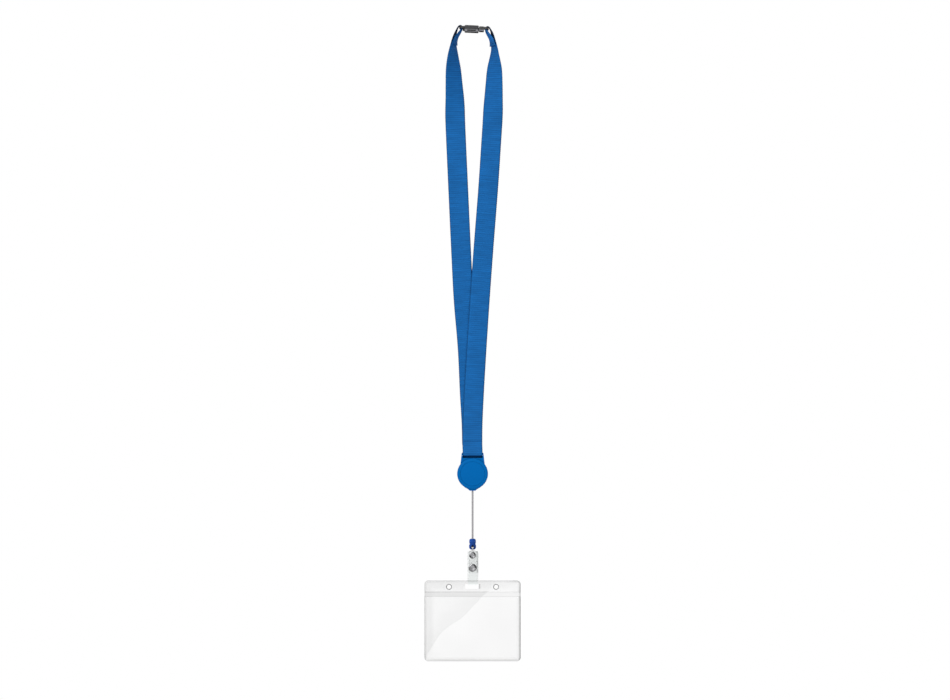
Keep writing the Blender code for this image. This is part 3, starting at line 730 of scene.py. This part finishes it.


# a near-black web of painted shade fills the ring above the vinyl's neck, hollowed for the neck's bend, with
# a round saddle of painted shade in it
RING_Z, SADDLE_Z = -532.45, -532.2
SADDLE_HALF, SADDLE_RADIUS, CHANNEL_RADIUS = 1.6, 0.95, 2.15
shadow_web = new_object(block("cord_end_shadow_web", (-1.6, -0.75, -531.9), (1.6, 0.8, -529.2)), painted_shadow_plastic,
                 smooth=False)
channel = linked("strap_channel", bar_along_x("strap_channel", 1.0, RING_Z, CHANNEL_RADIUS))
cut = shadow_web.modifiers.new("channel", "BOOLEAN")
cut.object = channel
cut.solver = "EXACT"
cut_mesh = baked(shadow_web)
shadow_web.modifiers.clear()
shadow_web.data = cut_mesh
bpy.data.objects.remove(channel)
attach(shadow_web, "cord_end")
shadow_saddle = new_object(bar_along_x("cord_end_shadow_saddle", SADDLE_HALF, SADDLE_Z, SADDLE_RADIUS), painted_shadow_plastic)
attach(shadow_saddle, "cord_end")

braid = cord_material("cord_braid")
dress("cord_winding", braid)
dress("cord_knot", braid)

CORD_TOP, CORD_LOW, CORD_RADIUS = -468.6, -524.6, 0.95


def cord_mesh(name):
    """The cord, its surface swelling where strands cross."""
    heights = np.linspace(CORD_TOP, CORD_LOW, 160)
    sides = 16
    rings = np.zeros((len(heights), sides, 3))
    uvs = np.zeros((len(heights), sides, 2))
    for k in range(sides):
        a = 2 * math.pi * k / sides
        bulge = 1 + 0.05 * np.sin(heights * 5.0 + 4 * a)
        rings[:, k, 0] = CORD_RADIUS * math.cos(a) * bulge
        rings[:, k, 1] = CORD_RADIUS * math.sin(a) * bulge
        rings[:, k, 2] = heights
        uvs[:, k] = np.stack([np.full(len(heights), k / sides), heights], axis=1)
    return tube_mesh(name, rings, uvs)


cord = new_object(cord_mesh("cord_braided"), braid)
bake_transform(cord)
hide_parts("cord")

# --- vinyl strap ---


def arc(z, radius, start, end, steps):
    """Points on an arc round (y 0, z), with angles measured from +Y towards +Z."""
    angles = [math.radians(start + (end - start) * i / steps) for i in range(steps + 1)]
    return [(0.0, radius * math.cos(a), z + radius * math.sin(a)) for a in angles]


def vinyl_mesh(name, stations, half_width, shift):
    """A vinyl strip along (x, y, z) stations; half_width and shift are functions of place and run."""
    path, run = sample_path(stations, VINYL_STEP)
    tangent = unit(np.gradient(path, axis=0))
    wide = np.tile(np.array([1.0, 0.0, 0.0]), (len(run), 1))
    normal = np.cross(tangent, wide)
    loop_u, loop_h = flat_section(13, VINYL_THICK, 14)
    widths = np.array([half_width(p, r, run[-1]) for p, r in zip(path, run)])
    shifts = np.array([shift(p, r, run[-1]) for p, r in zip(path, run)])
    rings = np.zeros((len(run), len(loop_u), 3))
    uvs = np.zeros((len(run), len(loop_u), 2))
    for k, (u, h) in enumerate(zip(loop_u, loop_h)):
        rings[:, k] = path + wide * (u * widths + shifts)[:, None] + normal * h
        uvs[:, k, 0] = u * widths
        uvs[:, k, 1] = run
    return tube_mesh(name, rings, uvs)


VINYL_THICK, VINYL_STEP = 0.8, 0.35
HALF_VINYL, HALF_NECK, CORNER = 5.1, 0.75, 1.3
FOLD_Z, FOLD_RADIUS, NECK_RADIUS = -566.1, 3.4, 1.7
BACK_EDGE_X = 4.85  # the back layer's edge, seen through the front one
SHOULDER_Z, SPREAD_Z = -535.3, -534.0  # where the neck widens, and where the layers start to lie off centre


def rounded_end(distance):
    """How much narrower a strip is this far from its end, for round corners."""
    if distance >= CORNER:
        return 0.0
    return CORNER - math.sqrt(max(0.0, CORNER**2 - (CORNER - distance) ** 2))


def strap_half(p, run, total):
    neck = smoothstep((p[2] - SHOULDER_Z) / 1.5)
    return HALF_VINYL + (HALF_NECK - HALF_VINYL) * neck - 0.3 * rounded_end(run)


def strap_shift(p, run, total):
    """The front layer hangs straight. The back one stands out to the right and comes back lower down."""
    spread = smoothstep((SPREAD_Z - p[2]) / 3)
    if p[1] < 0:
        return -0.1 * spread
    return 1.2 * spread - 0.5 * smoothstep((-556 - p[2]) / 8)


def tail_half(p, run, total):
    return HALF_VINYL - 0.3 * rounded_end(total - run)


def tail_shift(p, run, total):
    return 0.7 - 0.8 * smoothstep(run / 14.0)


def painted_neck_highlight(s, place):
    """Painted highlight: the vinyl turns milky white where its narrow neck is bent through the cord end's
    ring.
    """
    down = s.times(s.axes(place)[2], -1.0)
    return steps_of(s, down, ((531.2, 1.0), (532.0, 0.35), (533.1, 0.3), (533.5, 0.7), (534.6, 0.7),
                              (535.4, 0.0)))


def strip_detail(s, place):
    """Embossed flecks over the two layers, smooth below, with the back layer's edge at the right; lighter
    lower down, most at the fold as painted highlight.
    """
    x, _, z = s.axes(place)
    down = s.times(z, -1.0)
    # painted highlight: lighter lower down, most towards the fold
    level = steps_of(s, down, ((534.0, 1.0), (556.0, 1.0), (558.0, 1.015), (566.0, 1.02), (567.0, 1.045)))
    flecks = s.ramp(s.noise(850.0, 2.0, place, 0.6), 0.36, 0.64, -0.11, 0.08)
    above = s.ramp(down, 555.5 * MM, 558.5 * MM, 1.0, 0.0, True)
    line = s.ramp(s.absolute(s.minus(x, BACK_EDGE_X * MM)), 0.25 * MM, 0.75 * MM, 0.2, 0.0, True)
    return s.plus(level, s.times(above, s.minus(flecks, line)))


# the vinyl gets a painted milky highlight at its neck's bend
vinyl = clear_material("vinyl_strap_clear", tint=0.945, dark=0.02, gloss=0.6, roughness=0.25, cloud=0.008,
                       sheen_top=0.06, tone=(0.992, 1.0, 0.998), detail=strip_detail, painted_white=painted_neck_highlight)
MAIN = ([(0, -0.65, -547.1), (0, -0.65, -540.0), (0, -0.65, -536.6), (0, -1.05, -535.2)]
        + arc(RING_Z, NECK_RADIUS, 205, -25, 8)
        + [(0, 1.05, -535.2), (0, 0.65, -536.6), (0, 0.65, -543.0), (0, 1.1, -545.4), (0, 1.9, -547.6),
           (0, 1.9, -556.2), (0, 2.4, -558.4), (0, 3.15, -561.8), (0, 3.4, -565.0)])
vinyl_strap = new_object(vinyl_mesh("vinyl_strap_clear", MAIN, strap_half, strap_shift), vinyl)
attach(vinyl_strap, "hanging_strap")
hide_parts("vinyl_strap")
TAIL = ([(0, 3.4, -565.0)] + arc(FOLD_Z, FOLD_RADIUS, 0, -180, 16)
        + [(0, -3.15, -561.8), (0, -2.4, -558.4), (0, -1.9, -556.2), (0, -1.9, -552.0), (0, -1.9, -546.8)])
vinyl_tail = new_object(vinyl_mesh("vinyl_tail_clear", TAIL, tail_half, tail_shift), vinyl)
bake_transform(vinyl_tail)
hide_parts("vinyl_tail")

# --- badge holder ---

BADGE_HALF, BADGE_TOP, BADGE_LOW, BADGE_CORNER = 49.5, -565.1, -648.3, 3.8
HEADER_LOW, POCKET_TOP = -577.6, -581.4
SLOT_TOP, SLOT_LOW, SLOT_HALF, SLOT_CORNER = -568.5, -573.9, 7.7, 1.6
EYE_X, EYE_Z, EYE_RADIUS, BEAD_RADIUS, BEAD_HALF = 24.3, -571.6, 2.2, 2.62, 0.34
SHEET_THICK, SHEET_DEPTH = 0.42, 0.35
# the reflection's edge, as (share of the width, share of the height), and the heights it runs between
GLARE_LOW, GLARE_TOP = -646, -565
GLARE_EDGE = ((0.0, 0.0), (0.1, 0.2), (0.18, 0.34), (0.28, 0.437), (0.4, 0.537), (0.5, 0.667), (0.6, 0.79),
              (0.68, 0.885), (0.77, 1.0))


def rounded(x0, x1, z0, z1, radius, low=True, steps=8):
    """Outline of a rectangle with its upper corners rounded and its lower ones rounded or left square."""
    points = []
    corners = ((x1, z1, 0, True), (x0, z1, 90, True), (x0, z0, 180, low), (x1, z0, 270, low))
    for x, z, start, is_round in corners:
        if not is_round:
            points.append((x, z))
            continue
        cx = x - math.copysign(radius, x - (x0 + x1) / 2)
        cz = z - math.copysign(radius, z - (z0 + z1) / 2)
        for i in range(steps + 1):
            a = math.radians(start + 90 * i / steps)
            points.append((cx + radius * math.cos(a), cz + radius * math.sin(a)))
    return points


def circle(x, z, radius, sides=32):
    turn = 2 * math.pi / sides
    return [(x + radius * math.cos(i * turn), z + radius * math.sin(i * turn)) for i in range(sides)]


def sheet(name, outlines, depth, edge, material, stood_for):
    """A flat sheet of the badge holder, centred on depth, its cut edges rounded by edge."""
    curve = bpy.data.curves.new(name, "CURVE")
    curve.dimensions = "2D"
    curve.fill_mode = "BOTH"
    curve.extrude = (SHEET_THICK / 2 - edge) * MM
    curve.bevel_depth = edge * MM
    curve.bevel_resolution = 3
    curve.offset = -edge * MM
    for outline in outlines:
        spline = curve.splines.new("POLY")
        spline.points.add(len(outline) - 1)
        for point, (x, z) in zip(spline.points, outline):
            point.co = (x * MM, z * MM, 0.0, 1.0)
        spline.use_cyclic_u = True
    obj = linked(name, curve)
    obj.rotation_euler = (math.radians(90), 0, 0)
    obj.location = (0, depth * MM, 0)
    mesh = baked(obj)
    mesh.transform(obj.matrix_world)
    bpy.data.objects.remove(obj)
    mesh.name = name
    made = new_object(faced_out(mesh, weld=True), material)
    mesh.set_sharp_from_angle(angle=math.radians(50))
    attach(made, "badge")
    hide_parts(stood_for)


def glare(s, place):
    """The soft-edged reflection that crosses the sheets from the lower left to the upper right."""
    x, _, z = s.axes(place)
    curve = s.node("FloatCurve", {"Value": s.ramp(x, -BADGE_HALF * MM, BADGE_HALF * MM)})
    for at, height in GLARE_EDGE:
        curve.mapping.curves[0].points.new(at, height)
    curve.mapping.update()
    edge = s.ramp(curve.outputs[0], 0.0, 1.0, GLARE_LOW * MM, GLARE_TOP * MM)
    inside = s.minus(edge, z)
    lit = s.ramp(inside, -0.6 * MM, 0.6 * MM, 0.0, 1.0, True)
    before = s.ramp(inside, -30 * MM, 0.0, 0.982, 0.964, True)
    after = s.ramp(inside, 0.0, 45 * MM, 1.0, 0.985, True)
    return s.between(lit, before, after)


def distance_inwards(s, x, z):
    """Distance inwards from the edge of the badge holder's round-cornered outline, in metres."""
    reach = []
    for place, low, high in ((x, -BADGE_HALF, BADGE_HALF), (z, BADGE_LOW, BADGE_TOP)):
        centred = s.absolute(s.minus(place, (low + high) / 2 * MM))
        reach.append(s.minus(centred, ((high - low) / 2 - BADGE_CORNER) * MM))
    away = s.length(*[s.math("MAXIMUM", r, 0.0) for r in reach])
    inner = s.math("MINIMUM", s.math("MAXIMUM", *reach), 0.0)
    return s.minus(BADGE_CORNER * MM, s.plus(away, inner))


def rim_shade(s, place):
    """Painted shade with the grey of one sheet's welded edge, seen through it: strongest at the right and the
    bottom.
    """
    x, _, z = s.axes(place)
    inwards = distance_inwards(s, x, z)
    heavy = steps_of(s, inwards, ((0.0, 0.62), (0.5, 0.66), (1.1, 0.8), (1.7, 0.93), (2.1, 0.9), (2.4, 0.975),
                                  (5.0, 1.0)))
    light = steps_of(s, inwards, ((0.0, 0.8), (0.5, 0.84), (0.9, 0.94), (1.3, 0.95), (1.6, 0.88),
                                  (2.0, 0.955), (6.5, 0.965), (11.0, 1.0)))
    middle, half = (BADGE_LOW + BADGE_TOP) / 2, (BADGE_TOP - BADGE_LOW) / 2
    slant = s.minus(s.math("DIVIDE", x, BADGE_HALF * MM),
                    s.math("DIVIDE", s.minus(z, middle * MM), half * MM))
    share = s.ramp(slant, -0.35, 0.35, 0.0, 1.0, True)
    return s.math("SQRT", s.between(share, light, heavy))


def front_detail(s, place):
    return s.times(glare(s, place), rim_shade(s, place))


def back_detail(s, place):
    """The rim, the grey band at the pocket's mouth, fainter past the painted reflection's edge, and painted
    shade at the slot's right end.
    """
    x, _, z = s.axes(place)
    down = s.times(z, -1.0)
    grey_band = steps_of(s, down, ((576.0, 1.0), (576.5, 0.895), (577.6, 0.908), (580.9, 0.9), (581.6, 0.87),
                                   (582.1, 1.0)))
    faint = steps_of(s, down, ((576.0, 1.0), (576.6, 0.955), (580.9, 0.965), (581.6, 0.9), (582.1, 1.0)))
    slant = s.minus(x, s.times(s.plus(z, 579.0 * MM), 1.33))
    lit = s.ramp(slant, 12.2 * MM, 13.6 * MM, 0.0, 1.0, True)
    # painted shade at the slot's right end
    slot_end = s.times(s.ramp(x, 6.0 * MM, 6.6 * MM), s.ramp(x, 7.6 * MM, 8.2 * MM, 1.0, 0.0))
    tall = s.times(s.ramp(down, 568.4 * MM, 569.2 * MM), s.ramp(down, 573.0 * MM, 573.9 * MM, 1.0, 0.0))
    crescent = s.minus(1.0, s.times(s.times(slot_end, tall), 0.2))
    return s.times(s.times(s.between(lit, grey_band, faint), crescent), rim_shade(s, place))


def header_detail(s, place):
    """The rim and a slightly brighter right end, painted light of the reflection."""
    x, _, z = s.axes(place)
    slant = s.minus(x, s.times(s.plus(z, 571.0 * MM), 0.9))
    lit = s.ramp(slant, 18.0 * MM, 21.0 * MM, 0.0, 1.0, True)
    return s.times(rim_shade(s, place), s.ramp(lit, 0.0, 1.0, 0.99, 1.008))


clear_sheet = clear_material("badge_clear", tint=0.994, dark=0.25, gloss=0.35, roughness=0.1, cloud=0.003,
                             detail=back_detail)
clear_front = clear_material("badge_clear_front", tint=0.994, dark=0.35, gloss=0.35, roughness=0.1,
                             cloud=0.003, detail=front_detail)
clear_header = clear_material("badge_clear_header", tint=0.986, dark=0.3, gloss=0.4, roughness=0.16,
                              cloud=0.006, detail=header_detail)
clear_ring = clear_material("badge_clear_ring", tint=0.7, dark=0.95, gloss=0.5, roughness=0.1, cloud=0.0,
                            falloff=1.0)

eyes = [circle(-EYE_X, EYE_Z, EYE_RADIUS), circle(EYE_X, EYE_Z, EYE_RADIUS)]
sheet("badge_back", [
    rounded(-BADGE_HALF, BADGE_HALF, BADGE_LOW, BADGE_TOP, BADGE_CORNER),
    rounded(-SLOT_HALF - 1.2, SLOT_HALF - 1.4, SLOT_LOW, SLOT_TOP, SLOT_CORNER)] + eyes,
    SHEET_DEPTH, 0.14, clear_sheet, "badge_back_sheet")
sheet("badge_header", [
    rounded(-BADGE_HALF, BADGE_HALF, HEADER_LOW, BADGE_TOP, BADGE_CORNER, low=False),
    rounded(-SLOT_HALF, SLOT_HALF, SLOT_LOW, SLOT_TOP, SLOT_CORNER)] + eyes,
    -SHEET_DEPTH, 0.2, clear_header, "badge_header_strip")


def eye_ring(name, x):
    """The raised bead welded round an eye."""
    around, across = 48, 12
    rings = np.zeros((around + 1, across, 3))
    uvs = np.zeros((around + 1, across, 2))
    for i in range(around + 1):
        a = 2 * math.pi * (i % around) / around
        for k in range(across):
            b = 2 * math.pi * k / across
            out = BEAD_RADIUS + BEAD_HALF * math.cos(b)
            rings[i, k] = (x + out * math.cos(a), -0.3 + 0.5 * math.sin(b), EYE_Z + out * math.sin(a))
            uvs[i, k] = (i % around, k)
    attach(new_object(tube_mesh(name, rings, uvs, cap=False), clear_ring), "badge")


eye_ring("badge_eye_ring_left", -EYE_X)
eye_ring("badge_eye_ring_right", EYE_X)

# the pocket sheet: widths of its welded rims and of its lip, and how far it stands out and swells
RIM_SIDE, RIM_LOW, RIM_LIP, BULGE, SWELL = 2.2, 4.2, 1.6, 1.15, 0.22
POCKET_THICK, POCKET_BACK = 0.36, -0.14
POCKET_TALL = POCKET_TOP - BADGE_LOW


def pocket_place(across, up, z):
    """A point of the pocket sheet's middle surface, across and up from its lower left corner, at height z."""
    x = across - BADGE_HALF
    side, low, top = BADGE_HALF - abs(x), z - BADGE_LOW, POCKET_TOP - z
    if side < BADGE_CORNER and low < BADGE_CORNER:
        gap = math.hypot(BADGE_CORNER - side, BADGE_CORNER - low)
        if gap > BADGE_CORNER:
            pull = BADGE_CORNER / gap
            x = math.copysign(BADGE_HALF - BADGE_CORNER + (BADGE_CORNER - side) * pull, x)
            z = BADGE_LOW + BADGE_CORNER - (BADGE_CORNER - low) * pull
        side = low = max(0.0, BADGE_CORNER - gap)
    rise = 1.0
    for distance, width in ((side, RIM_SIDE), (low, RIM_LOW)):
        t = min(1.0, max(0.0, distance / width))
        rise *= math.sqrt(1 - (1 - t) ** 2)
    lip = 1 - 0.28 * math.exp(-((top / RIM_LIP) ** 2))
    swell = math.sin(math.pi * across / (2 * BADGE_HALF)) * math.sin(math.pi * min(1.0, up / POCKET_TALL))
    return x, POCKET_BACK - POCKET_THICK / 2 - (BULGE * lip + SWELL * swell) * rise, z


def pocket_mesh(name):
    """The front sheet: flat at its side edges, rising in a soft rim to a slightly bulged window; its lower
    edge stands a little up and off the back sheet.
    """
    full, rim = 2 * BADGE_HALF, 4.5
    columns = np.concatenate([np.linspace(0, rim, 16), np.linspace(rim, full - rim, 62)[1:-1],
                              np.linspace(full - rim, full, 16)])
    rows = np.concatenate([np.linspace(0, 5, 20), np.linspace(5, 64, 42)[1:-1],
                           np.linspace(64, POCKET_TALL, 9)])
    wide, tall = len(columns), len(rows)
    layer = wide * tall
    middle = []
    for up in rows:
        z = BADGE_LOW + up
        for across in columns:
            # the lift a round corner gives a low row is carried along that row
            middle.append(pocket_place(across, up, z))
            z = middle[-1][2]
    middle, half = np.array(middle), np.array([0.0, POCKET_THICK / 2, 0.0])
    verts = (np.concatenate([middle - half, middle + half]) * MM).tolist()
    faces = []
    for j in range(tall - 1):
        for i in range(wide - 1):
            a = j * wide + i
            faces.append((a, a + 1, a + wide + 1, a + wide))
            faces.append((layer + a, layer + a + wide, layer + a + wide + 1, layer + a + 1))
    border = (list(range(wide)) + [j * wide + wide - 1 for j in range(1, tall)]
              + [(tall - 1) * wide + i for i in reversed(range(wide - 1))]
              + [j * wide for j in reversed(range(1, tall - 1))])
    for a, b in zip(border, border[1:] + border[:1]):
        faces.append((a, layer + a, layer + b, b))
    return faced_out(from_faces(name, verts, faces))


pocket = new_object(pocket_mesh("badge_pocket"), clear_front)
pocket.data.set_sharp_from_angle(angle=math.radians(60))
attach(pocket, "badge")
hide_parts("badge_pocket_sheet")

# --- stage, light and camera ---

FLOOR_Z, FLOOR_HALF = -1.26, 0.8  # metres, below the badge with the cord fully drawn out


def floor_paper():
    """White paper that bounces light, with a faint grey pool of painted shade under the badge and none at its
    edges.
    """
    s = Shader("floor_paper")
    x, y, _ = s.axes(s.position())
    # painted pool of shade: less white glow near the middle, so more of the paper's lit shading shows
    pool = s.ramp(s.length(x, y), 0.02, 0.17, 0.55, 1.0, True)
    paper = s.node("BsdfDiffuse", {"Color": grey(0.86)})
    white = s.node("Emission", {"Color": grey(1.0), "Strength": 1.0})
    share = s.times(pool, s.node("LightPath").outputs["Is Camera Ray"])
    return s.finish(s.node("MixShader", {0: share, 1: paper, 2: white}))


floor_mesh = bpy.data.meshes.new("floor")
shape = bmesh.new()
bmesh.ops.create_grid(shape, x_segments=1, y_segments=1, size=FLOOR_HALF)
shape.to_mesh(floor_mesh)
shape.free()
floor = linked("floor", floor_mesh)
floor.location = (0, 0, FLOOR_Z)
floor_mesh.materials.append(floor_paper())

ROOM_DARK, ROOM_BRIGHT = 0.05, 0.75
SKY_LOW, SKY_HIGH = 0.3, 0.84


def studio_world():
    """White to the camera, even for diffuse light, and a soft box in a dark room for reflections."""
    s = Shader("studio", world=True)
    direction = s.node("TexCoord").outputs["Generated"]

    def toward(x, y, z, low, high):
        return s.ramp(s.dot(direction, Vector((x, y, z)).normalized()), low, high, smooth=True)

    box = toward(-0.55, -0.6, 0.58, 0.72, 0.86)
    front = toward(0.1, -1.0, 0.12, 0.93, 0.99)
    below = s.times(toward(0.0, -0.15, -1.0, 0.75, 0.95), 0.75)
    lights = s.math("MAXIMUM", s.math("MAXIMUM", box, front), below)
    mirrored = s.ramp(lights, 0.0, 1.0, ROOM_DARK, ROOM_BRIGHT)
    even = s.ramp(toward(-0.3, -0.6, 0.75, -1.0, 1.0), 0.0, 1.0, SKY_LOW, SKY_HIGH)
    rays = s.node("LightPath").outputs
    level = s.between(rays["Is Glossy Ray"], even, mirrored)
    level = s.between(rays["Is Camera Ray"], level, 1.0)
    return s.finish(s.node("Background", {"Color": grey(1.0), "Strength": level}))


scene.world = studio_world()


def lamp(name, place, size, watts):
    """A soft lamp aimed at the middle of the object, left out of reflections."""
    data = bpy.data.lights.new(name, "AREA")
    data.energy = watts
    data.size = size
    data.specular_factor = 0.0
    obj = linked(name, data)
    obj.location = place
    obj.rotation_euler = (Vector((0, 0, -0.33)) - Vector(place)).to_track_quat("-Z", "Y").to_euler()


lamp("key", (-1.3, -1.7, 0.9), 0.9, 17)
lamp("fill", (1.5, -1.6, -0.3), 1.2, 3)
lamp("rim", (0.6, 1.5, 0.6), 1.0, 5)

VIEW_X, VIEW_Z, FRAME_WIDTH = 2.5, -327.4, 979.5
DISTANCE, SENSOR = 6.0, 36.0  # metres from the object, and millimetres of sensor
camera_data = bpy.data.cameras.new("camera")
camera = linked("camera", camera_data)
camera.location = (VIEW_X * MM, -DISTANCE, VIEW_Z * MM)
camera.rotation_euler = (math.radians(90), 0, 0)
camera_data.sensor_width = SENSOR
camera_data.lens = SENSOR * DISTANCE / (FRAME_WIDTH * MM)
camera_data.clip_end = 50.0
scene.camera = camera
scene.view_settings.view_transform = "Standard"
scene.cycles.transparent_max_bounces = 32
